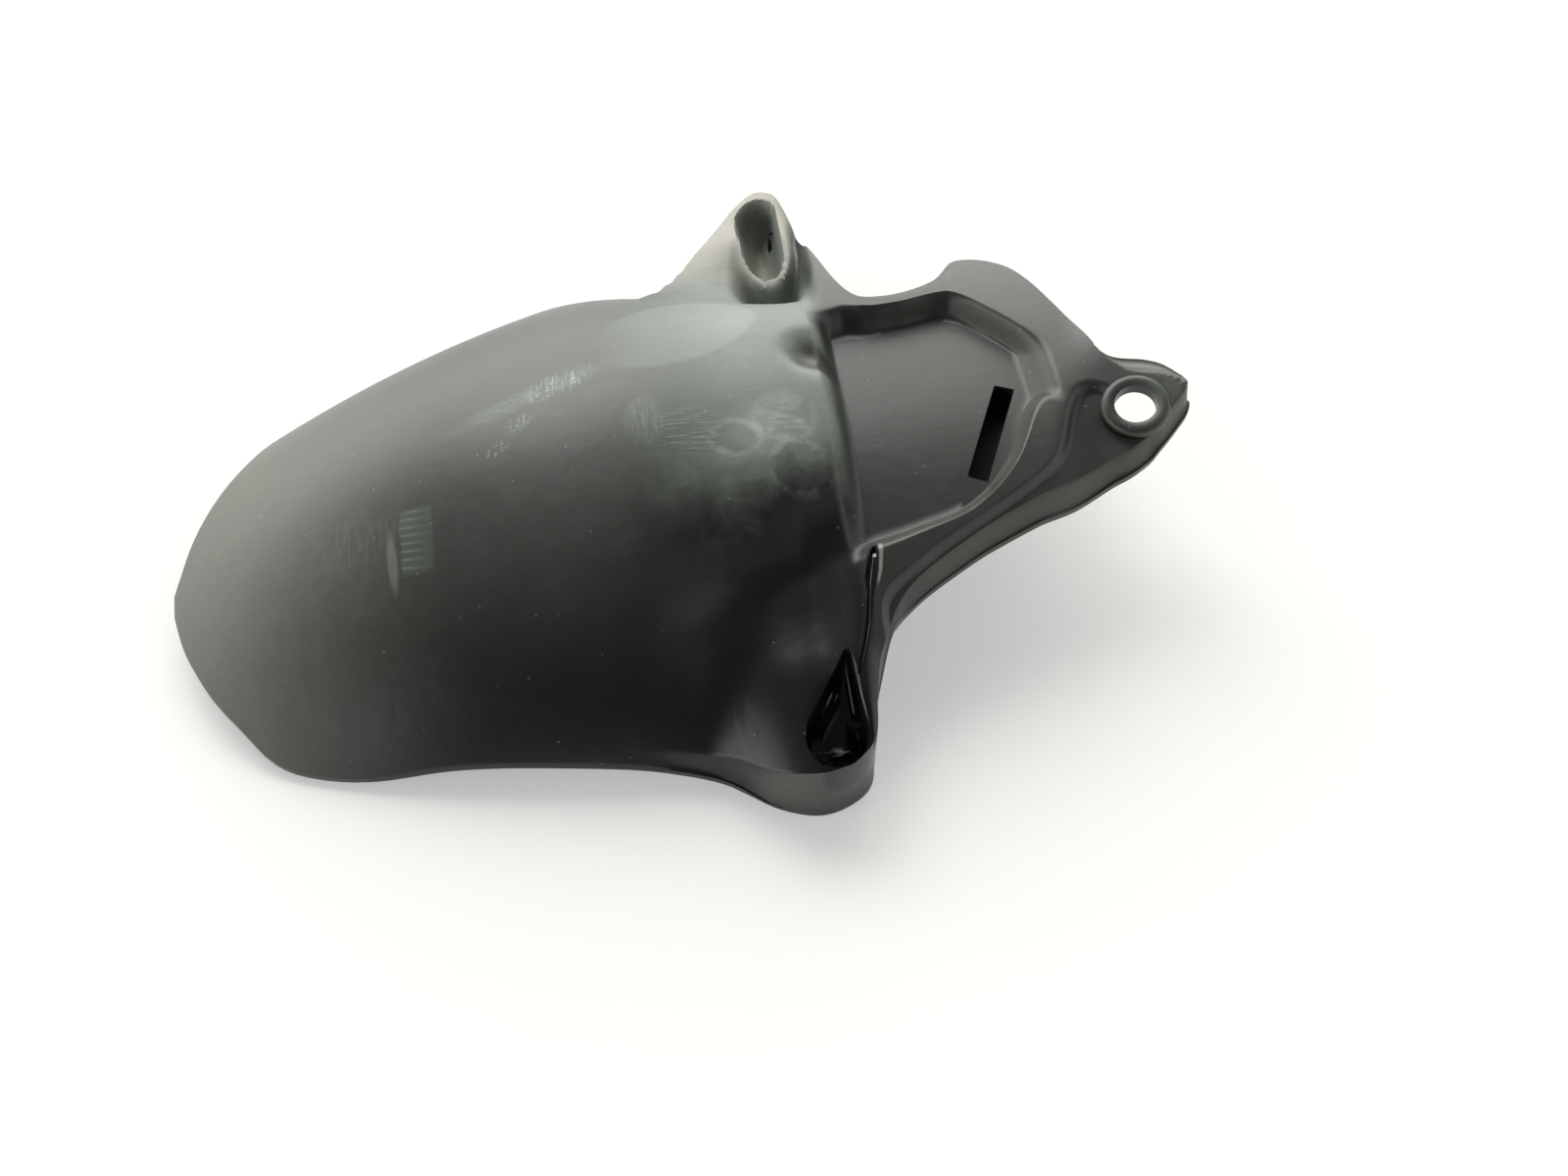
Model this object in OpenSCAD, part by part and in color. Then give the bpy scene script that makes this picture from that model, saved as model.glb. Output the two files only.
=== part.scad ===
// Rear fender of a motorcycle: one moulded plastic shell, lying on its side edges.
// X runs along the machine, the tail towards -X. Y runs across it, Z is up.
// The origin lies midway between the two ear holes, and the ground line is ear_z below it.

/* [Main shell] */
// Height of the crown above the ground line
crown_h = 68; // [62:1:76]
// Radius of the crown line seen from the side, set by the wheel
wheel_r = 320; // [300:5:345]
// Distance from the ear holes back to the highest point of the crown
crown_back = 48; // [40:1:60]
// Length of the tail behind the ear holes
tail_l = 230; // [222:1:238]
// Angle by which the tail leans towards the near side
tail_lean = 8; // [4:0.5:10]
// Half width of the shell at the rear corners
corner_w = 78; // [74:1:84]
// Half width of the shell just behind the ears
side_w = 110; // [106:1:114]
// Height of the side edges above the ground line at the corners
edge_low = 3; // [2:0.5:5]
// Rise of the side edges between the corners and the ears
edge_arch = 7; // [4:0.5:10]
// Radius of the section between the ears
front_r = 98; // [92:1:106]
// Thickness of the wall
wall = 2.6; // [2:0.1:3]

/* [Ears] */
// Distance from the middle to each ear hole
ear_y = 115; // [113:0.5:117]
// Height of the ear holes
ear_z = 20; // [18:0.5:22]
// Diameter of the ear holes
ear_hole_d = 9; // [6:0.5:10]
// Distance from the middle to the outer wall of each ear
ear_reach = 135; // [133:0.5:138]
// Height of the ear shelf at its outer edge
shelf_h = 31; // [29:0.5:33]
// Slope of the ear shelf across the shell
shelf_slope = 0.2; // [0.15:0.01:0.25]
// Distance of the bolt pocket's floor below the middle of the ear hole
pocket_below = 10; // [8:0.5:12]
// Half width of the bolt pocket
pocket_w = 8.5; // [7:0.5:9]
// Thickness of the plate in front of the bolt pocket
plate_t = 4; // [3.5:0.5:5]
// Height of the raised collar round the far pocket's inner end
valley_depth = 13; // [4:0.5:9]

/* [Front panel] */
// Distance from the ear holes to the crease between shell and panel
crease_x = 7; // [5:0.5:9]
// Height of the panel's rim at the crease
deck_h = 57; // [54:1:60]
// Rise of the rim for each millimetre forwards
deck_rise = 0.04; // [0:0.01:0.08]
// Radius of the rim's cross section
deck_r = 260; // [220:10:320]
// Depth of the recess in the panel
recess_depth = 9; // [6:0.5:11]
// Width of the sloped walls round the recess
recess_wall = 8; // [6:0.5:10]
// Height of the flange that is turned down along the near edge
flange_h = 8; // [6:0.5:10]
// Drop of the bevel along the far edge
bevel_h = 4; // [2:0.5:6]
// Drop of the ledge along the near edge and of the recess in the arm
ledge_drop = 2.5; // [1:0.5:4]

/* [Arm] */
// Distance from the ear holes forwards to the arm's hole
arm_x = 106; // [104:0.5:108]
// Distance from the middle to the arm's hole
arm_y = 28; // [26:0.5:30]
// Height of the arm at its hole
arm_z = 60; // [57:0.5:63]
// Diameter of the arm's hole
arm_hole_d = 14; // [10:0.5:15]
// Outer diameter of the ring round the arm's hole
ring_d = 22; // [20:0.5:24]
// Height of the ring above the arm
ring_h = 1.5; // [1:0.5:3]
// Slope of the arm, lengthwise and across
arm_slope = 0.2; // [0.1:0.05:0.3]

/* [Slot] */
// Length of the blind slot in the recess
slot_l = 40; // [30:1:42]
// Width of the slot
slot_w = 7; // [5:0.5:8]
// Depth of the slot below the recess
slot_depth = 9; // [6:0.5:12]

/* [Hidden] */

// Smooth step from 0 at a to 1 at b
function ease(a, b, x) = let (t = max(0, min(1, (x - a) / (b - a)))) t * t * (3 - 2 * t);
function mix(a, b, t) = a + (b - a) * t;
// The larger of two values, rounded over a width k
function round_max(a, b, k) = let (h = max(0, min(1, 0.5 + 0.5 * (a - b) / k))) b + (a - b) * h + k * h * (1 - h);
// A round hill of height 1 that ends at radius r round the point c
function hill(x, y, c, r) = ease(r, 0, norm([x, y] - c));

// Tail frame: its axis leans by tail_lean, and it shares the origin
function tail_u(x, y) = x * cos(tail_lean) + y * sin(tail_lean);
function tail_v(x, y) = -x * sin(tail_lean) + y * cos(tail_lean);
function from_tail(u, v) = [u * cos(tail_lean) - v * sin(tail_lean), u * sin(tail_lean) + v * cos(tail_lean)];

// Main shell: each section is an arc through the crown and both side edges
corner_u = 45 - tail_l;
side_u = -50;
steep = 0.94;
function crown(u) = crown_h - wheel_r + sqrt(wheel_r * wheel_r - pow(u + crown_back, 2));
function edge_h(u) = edge_low + edge_arch * (1 - pow((u - side_u / 2 - corner_u / 2) / (side_u / 2 - corner_u / 2), 2));
function half_w(u) = corner_w + (side_w + 4 - corner_w) * (u - corner_u) / (side_u - corner_u);
function section_r(u) =
    let (p = max(corner_u, min(side_u, u)), s = crown(p) - edge_h(p), r = (pow(half_w(p), 2) + s * s) / (2 * s))
    r + (front_r - r) * ease(-75, -18, u);
function shell_h(x, y, o) =
    let (u = tail_u(x, y), v = abs(tail_v(x, y)), r = section_r(u) - o, w = min(v, steep * r))
    crown(u) - o - r + sqrt(r * r - w * w) - max(0, v - steep * r) * steep / sqrt(1 - steep * steep);

// Ear shelves: sloped wings beside the shell, each with an upright outer wall
shelf_y = 62;
function shelf_z(x, y, o) =
    let (slope = shelf_slope + 0.45 * ease(-14, -62, x), back = -35 + 0.55 * (y - 92) - x)
    shelf_h + shelf_slope * (ear_reach - shelf_y) - slope * max(0, abs(y) - shelf_y)
    - 70 * ease(-50, -115, x) - (y > 0 ? 24 * ease(0, 16, back) + 4 * ease(-4, -20, x) * ease(95, 120, y) : 0)
    - (y < 0 ? 5 * ease(95, 132, -y) : 0) - o;
function valley(x, y) =
    valley_depth * ease(9, 1.5, abs(norm([x + 5, y - 93]) - 17)) * ease(-22, -8, x) * ease(106, 92, y) * ease(63, 72, y);
function hollow(x, y) = 3 * hill(x, y, [-13, -59], 15) + 4 * hill(x, y, [-2, 8], 16);

// Panel: rim, recess and arm, where q is 1 on the floor of the recess
function deck(x, y, o) = deck_h + deck_rise * x - pow(y + 8, 2) / (2 * (y > -8 ? deck_r : 0.7 * deck_r)) - o;
function arm(x, y, o) = arm_z + arm_slope * (x - arm_x) + arm_slope * (y + arm_y) - o;
function panel(x, y, q, o) =
    let (t = ease(78, 100, x - 0.3 * y - 8), depth = recess_depth * ease(84, 74, x))
    deck(x, y, o) * (1 - t) + arm(x, y, o) * t - depth * q;

// Whole surface over the plan: a and b are the distances from the near and the far trim
function height(x, y, q, l, a, b, o) =
    let (t = ease(crease_x - 5, crease_x + 5, x), w = mix(4.5, 2.6, by_ear(x)), e = ease(w + o, 0.13 * w + o, min(a, b)),
         f = ease(12, 22, x), g = ease(-70, -30, x) * ease(90, 112, abs(y)),
         s = round_max(shell_h(x, y, o), shelf_z(x, y, o), 5) - valley(x, y) - hollow(x, y),
         z = s * (1 - t) + panel(x, y, q, o) * t)
    z - g * e * max(0, z - 1) - f * (ledge_drop * l + flange_h * ease(4.5 + o, 0.8 + o, a) + bevel_h * ease(10, 1, b));

// Bolt pocket: a teardrop that narrows and rises inwards, and that opens upwards
ear_x = 3;
pocket_x = ear_x - plate_t / 2 - pocket_w;
pocket_z = ear_z - pocket_below;
pocket_near_y = ear_y - 20;
pocket_far_y = ear_y - 35;

// Matching points of the near trim, the recess floor's near and far edge, and the far trim,
// then the places of the marks that follow a form beside the near and the far trim
tail_trim = [
    [1, 8, 1], [4, 22, 8.5], [8, 33, 20], [13, 44, 31], [20, 55, 43.5], [29, corner_w - 10, corner_w - 21],
    [41, corner_w - 2, corner_w - 1], [60, corner_w + 5, corner_w + 9], [88, corner_w + 11, corner_w + 16],
    [120, corner_w + 19.5, corner_w + 24], [152, side_w - 3.5, side_w + 1]
];
front_trim = [
    [[-43, -121.5], [-43, -60], [-43, 25], [-43, 105], [14, 14]],
    [[-28, -131], [-28, -62], [-28, 27], [-28, 112.5], [12, 12]],
    [[-15, -ear_reach], [-15, -62], [-15, 28], [-15, 129], [8, 8]],
    [[-4, 2.5 - ear_reach], [-4, -62], [-4, 28], [-4, ear_reach + 2], [8, 8]],
    [[3.5, -126], [3.5, -62], [3.5, 28], [5, ear_reach - 4], [6, 6]],
    [[6, -113], [7, -61], [7, 28], [7.8, 113], [6, 6]],
    [[9.5, -100.5], [12, -59], [13.5, 30], [10.6, 91], [8, 8]],
    [[20, -83], [27, -56], [24.5, 33], [19.5, 52], [14, 7]],
    [[43, -69.5], [47, -50], [38, 36], [33, 44], [10, 6]],
    [[62, -61.5], [62, -36], [54, 37], [53, 50], [11, 7]],
    [[80, -55], [74, -14], [68, 20], [66.5, 66.5], [16, 10]],
    [[90, -50.5], [83, -12], [80, 3], [83, 58], [27, 10]],
    [[97, -47.5], [92, -8], [90, 3], [92, 34], [30, 10]],
    [[104.5, -45], [100, -11], [98, -3], [98.5, 9], [25, 5]],
    [[113.5, -40], [108, -17], [107, -12], [103, -4], [11, 4]],
    [[122, -32.5], [117.5, -21], [116.5, -17], [114, -9], [6, 5]],
    [[127, -25.5], [126, -22], [125.5, -19], [123.5, -15.5], [3, 3]]
];
function tail_row(p) =
    let (n = from_tail(p[0] - tail_l, -p[1]), f = from_tail(p[0] - tail_l, p[2]))
    [n, n + 0.28 * (f - n), n + 0.64 * (f - n), f, [norm(f - n) * 0.06, norm(f - n) * 0.06]];
trim = concat([for (p = tail_trim) tail_row(p)], front_trim);

// Smooth curve through a list of points, at s from 0 to len - 1
function through(p, s) =
    let (n = len(p) - 1, i = min(n - 1, floor(s)), t = s - i,
         a = p[max(0, i - 1)], b = p[i], c = p[i + 1], d = p[min(n, i + 2)])
    0.5 * (2 * b + (c - a) * t + (2 * a - 5 * b + 4 * c - d) * t * t + (3 * b - a - 3 * c + d) * t * t * t);
function line_at(k, s) = through([for (r = trim) r[k]], s);

// Stations along the trim. At the ears each station lies at a given x, so that it meets the pocket's edges.
last = len(trim) - 1;
function station(x, low, high, n) =
    let (m = (low + high) / 2)
    n == 0 ? m : line_at(1, m)[0] < x ? station(x, m, high, n - 1) : station(x, low, m, n - 1);
pocket_left = pocket_x - pocket_w;
pocket_right = pocket_x + pocket_w;
ear_stations = concat(
    [-34, -28, -22, pocket_left - 2.8, pocket_left - 1, pocket_left + 0.3],
    [for (k = [1 : 6]) pocket_left + 0.3 + k * (2 * pocket_w - 0.6) / 7],
    [pocket_right - 0.3, pocket_right + 0.9, 3.1, 4.2, 5.4, 6.6, 8.4, 10.6]);
function steps(i) = i < 18 ? 2 : i == 18 ? 6 : i < 21 ? 5 : 2;
stations = concat(
    [for (i = [0 : 7]) i], [for (i = [15 : 22]) i / 2], [for (x = ear_stations) station(x, 11, 17, 20)],
    [for (i = [17 : last - 1]) for (k = [0 : steps(i) - 1]) i + k / steps(i)], [last]);

// Marks beside the trim: at the ears they follow the pocket's outline
function pocket_out(x) = ear_y + 9 + pocket_w * sqrt(1 - pow(min(0.9, abs(x - pocket_x) / pocket_w), 2));
function pocket_in(x, far) =
    let (q = max(pocket_left + 1, min(pocket_right - 0.8, x)))
    far ? pocket_far_y + 9 - 12 * sqrt(1 - pow((q - pocket_x) / pocket_w, 2))
    : max(pocket_near_y, ear_y + 5 - 2 * (q - pocket_left), ear_y + 5 - 8 * (pocket_right - q));
function marks(x, y, d, l, far) =
    let (t = ease(pocket_left - 2, pocket_left - 14, x) + ease(pocket_right + 0.5, 11, x),
         a = max(edge_places[4] * mix(ear_edge, 1, t) + 0.6, mix(y - pocket_out(x), min(d, 0.8 * l), t)), b = min(a + mix(1.3, 3, t), max(a + 0.5, 0.89 * l)),
         d2 = mix(y - pocket_in(x, far), b + (l - b) * 0.6, t), c = max(b + (l - b) * 0.25, d2 - 1.3),
         e = max(c + min(1, l / 20), d2))
    [a, b, c, e];

// Places across each station: at both edges, at the marks, and on the walls of the recess
edge_places = [0, 1.1, 2.2, 3.3, 4.5];
function between(a, b, n) = [for (k = [1 : n]) a + (b - a) * k / n];
ear_edge = 0.55;
function by_ear(x) = ease(-50, -22, x) * ease(14, 4, x);
function side_places(x, y, d, l, far) =
    let (f = min(1, l / 18), m = marks(x, y, d, l / f, far) * f)
    concat([for (e = edge_places) e * f * mix(1, ear_edge, by_ear(x))], [m[0]], [m[1]], between(m[1], m[2], 4), [m[3]], between(m[3], l, 4));
function row_at(s) =
    let (p = [for (k = [0 : 3]) line_at(k, s)], d = line_at(4, s),
         ln = norm(p[1] - p[0]), lf = norm(p[2] - p[3]), dn = (p[1] - p[0]) / ln, df = (p[2] - p[3]) / lf,
         wall_w = recess_wall - (recess_wall - 2) * ease(74, 88, p[1][0]), wn = min(wall_w, 0.35 * ln), wf = min(wall_w, 0.35 * lf))
    concat(
        [for (e = side_places(p[1][0], -p[0][1], d[0], ln - wn, false)) p[0] + e * dn], between(p[1] - wn * dn, p[1], 3),
        between(p[1], p[2], 6),
        [for (k = [2 : -1 : 0]) p[2] - wf * df * (3 - k) / 3],
        let (e = side_places(p[1][0], p[3][1], d[1], lf - wf, true)) [for (i = [len(e) - 2 : -1 : 0]) p[3] + e[i] * df]);
plan = [for (s = stations) row_at(s)];
rows = len(plan);
cols = len(plan[0]);
half = (cols - 1) / 2;

// Share of the recess, of the lower ledge and of the pocket at each place
function fold(j) = min(j, cols - 1 - j);
function recess_share(j) = ease(15, 18, fold(j));
function in_pocket(i, j) = fold(j) > 5 && fold(j) < 11 && plan[i][half][0] > pocket_left && plan[i][half][0] < pocket_right;
function by_pocket(i, j) = fold(j) > 4 && fold(j) < 12 && plan[i][half][0] > pocket_left - 2 && plan[i][half][0] < 5;
function pocket_floor(x, y) =
    let (s = max(0, (ear_y + 8 - abs(y)) / (ear_y + 8 - (y > 0 ? pocket_far_y : pocket_near_y))))
    pocket_z + (y > 0 ? 17 * pow(s, 1.6) + 13 * ease(pocket_x - 1, pocket_left, x) : 25 * pow(s, 2));

function point_at(i, j, o) =
    let (p = plan[i][j], z = height(p[0], p[1], recess_share(j), j < 6 && i > 0 ? 1 : 0, norm(p - plan[i][0]), norm(p - plan[i][cols - 1]), o),
         low = pocket_floor(p[0], p[1]))
    [p[0], p[1], o > 0 ? max(0, by_pocket(i, j) ? min(z, low - o) : z) : max(0.8, in_pocket(i, j) ? min(z, low) : z)];
outer = [for (i = [0 : rows - 1]) [for (j = [0 : cols - 1]) point_at(i, j, 0)]];
// The lining lies straight under the skin, and the wall thins a little towards the trim
inner = [for (i = [0 : rows - 1]) [for (j = [0 : cols - 1])
    let (p = point_at(i, j, wall), z = outer[i][j][2], d = min(norm(plan[i][j] - plan[i][0]), norm(plan[i][j] - plan[i][cols - 1])))
    [p[0], p[1], min(z - 0.7, max(p[2], z - wall - 20 * ease(0.5, 5, d)))]]];

function flat(grid) = [for (row = grid) for (p = row) p];
skin_faces = [for (i = [0 : rows - 2]) for (j = [0 : cols - 2])
    let (k = i * cols + j) each [[k, k + 1, k + cols + 1], [k, k + cols + 1, k + cols]]];
lining_faces = [for (f = skin_faces) [for (k = [2, 1, 0]) f[k] + rows * cols]];
border = concat(
    [for (j = [0 : cols - 2]) j], [for (i = [0 : rows - 2]) i * cols + cols - 1],
    [for (j = [cols - 1 : -1 : 1]) (rows - 1) * cols + j], [for (i = [rows - 1 : -1 : 1]) i * cols]);
edge_faces = [for (k = [0 : len(border) - 1])
    let (a = border[k], b = border[(k + 1) % len(border)], n = rows * cols)
    each [[b, a, a + n], [b, a + n, b + n]]];

module skin() {
    polyhedron(concat(flat(outer), flat(inner)), concat(skin_faces, lining_faces, edge_faces), convexity = 8);
}

module ear_bore() {
    translate([-6, ear_y, ear_z])
        rotate([0, 90, 0])
            cylinder(h = 24, d = ear_hole_d, $fn = 48);
}
module both_sides() {
    children();
    mirror([0, 1, 0])
        children();
}

// The arm's hole is square to the arm, and a ring stands round it
module on_arm() {
    translate([arm_x, -arm_y, arm_z])
        rotate([atan(arm_slope), -atan(arm_slope), 0])
            children();
}

// Blind slot in the recess, parallel to its floor and closed below by a trough
slot_tilt = 5;
module slot(grow, top) {
    bottom = deck_h + 2.4 - recess_depth - slot_depth - grow;
    translate([67.5, -6, bottom])
        rotate([0, slot_tilt, 245])
            translate([-grow, -slot_w / 2 - grow, 0])
                cube([slot_l + 2 * grow, slot_w + 2 * grow, top - bottom]);
}

// Crack along the crease, from the recess to the near ear: places and half widths
crack_line = [
    [12, -63, 0.2], [10.6, -69, 0.8], [9, -75, 1.5], [8.2, -80, 0.6],
    [6.8, -88, 0.8], [5, -94, 0.7], [2.4, -101, 0.6], [0.6, -105, 0.2]
];
module crack() {
    translate([0, 0, 12])
        linear_extrude(50)
            polygon(concat(
                [for (p = crack_line) [p[0] + p[2], p[1]]],
                [for (i = [len(crack_line) - 1 : -1 : 0]) [crack_line[i][0] - crack_line[i][2], crack_line[i][1]]]));
}

module fender_shell() {
    color("#2b2d2c")
        translate([-ear_x, 0, -ear_z])
            difference() {
                union() {
                    skin();
                    on_arm()
                        translate([0, 0, -wall - 1])
                            cylinder(h = wall + 1 + ring_h, d = ring_d, $fn = 64);
                    slot(wall, deck_h + 2.4 - recess_depth - wall / 2);
                }
                both_sides()
                    ear_bore();
                on_arm() {
                    translate([0, 0, -12])
                        cylinder(h = 24, d = arm_hole_d, $fn = 64);
                    translate([0, 0, -14])
                        cylinder(h = 13 - wall, d = arm_hole_d + 4, $fn = 64);
                }
                slot(0, deck_h + 10);
                crack();
            }
}

fender_shell();
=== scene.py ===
# %% [markdown]
# # Motorcycle rear fender
#
# The real part is one moulding of black plastic: a crowned shell over the wheel, two ears with bolt
# pockets, a sunken panel in front of them, and an arm with one more hole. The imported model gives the
# size and the place of every hole. It could be shown as it is, but its edges are hard and its faces
# are few. So the surface is built again here, much as the model builds it, with softer edges and
# finer forms, and gets its worn plastic. Lengths are in millimetres until the mesh is made.

import math

import bmesh
import bpy
import numpy as np
from mathutils import Matrix, Vector


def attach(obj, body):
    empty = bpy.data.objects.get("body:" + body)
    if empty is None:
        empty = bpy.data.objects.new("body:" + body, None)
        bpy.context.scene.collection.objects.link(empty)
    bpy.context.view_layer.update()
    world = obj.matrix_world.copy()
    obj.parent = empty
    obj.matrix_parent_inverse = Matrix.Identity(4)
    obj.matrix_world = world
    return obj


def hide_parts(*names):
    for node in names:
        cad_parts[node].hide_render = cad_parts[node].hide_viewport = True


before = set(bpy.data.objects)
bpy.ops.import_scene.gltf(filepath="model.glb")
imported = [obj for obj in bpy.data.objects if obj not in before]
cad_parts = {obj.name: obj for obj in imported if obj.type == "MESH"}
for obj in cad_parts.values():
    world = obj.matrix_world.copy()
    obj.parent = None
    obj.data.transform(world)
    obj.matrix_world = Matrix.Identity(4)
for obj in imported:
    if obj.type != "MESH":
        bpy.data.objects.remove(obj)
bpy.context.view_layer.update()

# %% [markdown]
# ## Measures
# A fender is laid out from where it is bolted on. The frame's origin lies midway between the ear
# holes; the forms are laid out from the ground line, 20 mm lower, and from 3 mm behind the middle of
# the ear plates. Bare numbers in the formulas would work too, but a named size drives every form
# that depends on it. X runs forward, Z up, and the near side is the side of negative Y.

# %% Measures
ORIGIN = np.array([3.0, 0.0, 20.0])
WALL = 2.6
THINNEST = 0.7  # of the wall, at the trim
LOWEST = 0.8  # height of the trim over the ground line

CROWN_H, WHEEL_R, CROWN_BACK = 68.0, 320.0, 48.0  # the crown's top, its arc, and how far back it lies
TAIL_L, LEAN = 230.0, math.radians(8)  # the tail leans towards the near side
CORNER_W, SIDE_W = 78.0, 110.0  # half widths at the tail's corners and in front of them
SIDE_SPREAD = 4.0
CORNER_U, SIDE_U = 45 - TAIL_L, -50.0  # where the tail's sides start and end, along its axis
EDGE_LOW, EDGE_ARCH = 3.0, 7.0  # the side's height over the ground line, and its arch
FRONT_R, STEEP = 98.0, 0.94  # the front's arc, and the share of it before it turns straight

EAR_Y, EAR_Z, EAR_REACH = 115.0, 20.0, 135.0
SHELF_H, SHELF_SLOPE, SHELF_FROM = 31.0, 0.2, 62.0
CREASE_X, CREASE_HALF = 7.0, 5.0
DECK_H, DECK_RISE, DECK_R, DECK_MIDDLE = 57.0, 0.04, 260.0, -8.0
RECESS_DEPTH, RECESS_WALL, LEDGE_DEPTH, FAR_LIP = 9.0, 8.0, 2.5, 3.5
FLANGE_H, BEVEL_H = 8.0, 4.0
ARM = np.array([106.0, -28.0, 60.0])
ARM_SLOPE = 0.2
print("ear holes", 2 * EAR_Y, "apart; wall", WALL)

# %% [markdown]
# ## Trim
# The trim is the moulding's free edge, and it gives the fender its outline. One closed curve could
# cut a sheet, but the wall turns down along the edge, which needs rows that start and end on it. So
# each station across the fender has four points: the near trim, the near and the far side of the
# panel, and the far trim. The tail's stations are three lengths each: how far they lie from the
# tail's tip, and how far the near and the far trim lie from its axis.

# %% Trim
TAIL_TRIM = [
    (1, 8, 1), (4, 22, 8.5), (8, 33, 20), (13, 44, 31), (20, 55, 43.5), (29, 68, 57), (41, 76, 77),
    (60, 83, 87), (88, 89, 94), (120, 97.5, 102), (152, 106.5, 111),
]
FRONT_TRIM = [
    [(-43, -121.5), (-43, -60), (-43, 25), (-43, 105)],
    [(-28, -131), (-28, -62), (-28, 27), (-28, 112.5)],
    [(-15, -135), (-15, -62), (-15, 28), (-15, 129)],
    [(-4, -132.5), (-4, -62), (-4, 28), (-4, 137)],
    [(3.5, -126), (3.5, -62), (3.5, 28), (5, 131)],
    [(6, -113), (7, -61), (7, 28), (7.8, 113)],
    [(9.5, -100.5), (12, -59), (13.5, 30), (10.6, 91)],
    [(20, -83), (27, -56), (24.5, 33), (19.5, 52)],
    [(43, -69.5), (47, -50), (38, 36), (33, 44)],
    [(62, -61.5), (62, -36), (54, 37), (53, 50)],
    [(80, -55), (74, -14), (68, 20), (66.5, 66.5)],
    [(90, -50.5), (83, -16), (80, 3), (83, 58)],
    [(97, -47.5), (92, -22), (90, -6), (92, 34)],
    [(104.5, -45), (101, -28), (98, -14), (98.5, 9)],
    [(113.5, -40), (109, -29), (107, -18), (103, -4)],
    [(122, -32.5), (118, -25), (116.5, -18), (114, -9)],
    [(125.2, -29), (122.6, -24), (121.2, -18.6), (119.6, -12.4)],
    [(126.8, -24.6), (126.5, -22.8), (126, -20.8), (124.8, -18.4)],
]
NEAR_SHARE, FAR_SHARE = 0.28, 0.64  # where the panel's sides would run, across the tail


def from_tail(u, v):
    c, s = math.cos(LEAN), math.sin(LEAN)
    return np.array([u * c - v * s, u * s + v * c])


def tail_row(back, near_w, far_w):
    n, f = from_tail(back - TAIL_L, -near_w), from_tail(back - TAIL_L, far_w)
    return [n, n + NEAR_SHARE * (f - n), n + FAR_SHARE * (f - n), f]


trim = np.array([tail_row(*t) for t in TAIL_TRIM] + FRONT_TRIM, float)
print("trim stations", len(trim))

# %% [markdown]
# ## Curves
# Moulded plastic has no sudden steps. Two small tools make that so: a smooth step, which turns one
# form on or off over a stated width, and a curve that passes through every point it is given. A
# Bezier curve would need handles; this one needs only the points.

# %% Curves
def ease(a, b, x):
    """Smooth step from 0 at a to 1 at b."""
    t = np.clip((x - a) / (b - a), 0, 1)
    return t * t * (3 - 2 * t)


def between(a, b, c, d, t):
    """The curve from b to c that heads for a and d beyond them."""
    return 0.5 * (2 * b + (c - a) * t + (2 * a - 5 * b + 4 * c - d) * t**2 + (3 * b - a - 3 * c + d) * t**3)


def through(points, s):
    """Every row of points, at the places s along the rows."""
    last = len(points) - 1
    i = np.minimum(last - 1, np.floor(s).astype(int))
    t = (s - i)[:, None, None]
    return between(points[np.maximum(0, i - 1)], points[i], points[i + 1], points[np.minimum(last, i + 2)], t)


def closed_curve(points, n=6):
    q = np.array(points, float)
    ends = zip(np.roll(q, 1, axis=0), q, np.roll(q, -1, axis=0), np.roll(q, -2, axis=0))
    return np.array([between(*four, t) for four in ends for t in np.arange(n) / n])


def unit(v):
    return v / np.linalg.norm(v, axis=-1, keepdims=True)


print("ease halfway", ease(0, 1, 0.5))

# %% [markdown]
# ## Rows
# The grid's rows run across the shell from the near trim to the far trim. Even rows would be too
# coarse for the ears or wasted on the tail, so each part of the fender has its own row spacing.

# %% Rows
ROWS, TRIES = 205, 4001
TIP_STEP, TAIL_STEP, EAR_STEP, FRONT_STEP = 1.6, 3.0, 0.8, 1.3
tries = np.linspace(0, len(trim) - 1, TRIES)
lines = through(trim, tries)
row_x = lines[:, 1:3].mean(axis=1)[:, 0]
spacing = TAIL_STEP + (EAR_STEP - TAIL_STEP) * ease(-38, -24, row_x)
spacing = spacing + (FRONT_STEP - EAR_STEP) * ease(14, 26, row_x)
spacing = np.where(tries < 2, TIP_STEP, spacing)
advance = np.linalg.norm(np.diff(lines, axis=0), axis=2).mean(axis=1)
travel = np.concatenate([[0], np.cumsum(advance / (0.5 * (spacing[1:] + spacing[:-1])))])
stations = np.interp(np.linspace(0, travel[-1], ROWS + 1), travel, tries)
print("rows", len(stations))

# %% [markdown]
# ## Columns
# Columns follow the trim. They are packed at both edges, at the ears' pockets and on the walls of
# the panel, where the surface turns fastest. A column's number also says which part of a row it is
# on, which later places the panel's walls exactly between two knots.

# %% Columns
EDGE_BAND, EDGE_SPAN = 5.0, 20.0
NEAR_EAR, FAR_EAR = 55.0, 57.0
COUNTS = [8, 38, 14, 9, 34, 9, 14, 54, 8]
near, floor_near, floor_far, far = (through(trim, stations)[:, k] for k in range(4))
across = unit(floor_far - floor_near)
far_x = floor_far[:, :1]
floor_far = floor_far - FAR_LIP * across * (ease(16, 26, far_x) * ease(66, 54, far_x))


def side_knots(trim_line, panel_line, ear):
    """Five lines from the trim to the panel: trim, edge, ear, and the top and foot of the wall."""
    span = np.linalg.norm(panel_line - trim_line, axis=1)[:, None]
    inwards = unit(panel_line - trim_line)
    return [
        trim_line,
        trim_line + EDGE_BAND * np.minimum(1, span / EDGE_SPAN) * inwards,
        trim_line + np.minimum(ear, 0.55 * span) * inwards,
        panel_line - np.minimum(RECESS_WALL, 0.4 * span) * inwards,
        panel_line,
    ]


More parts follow.
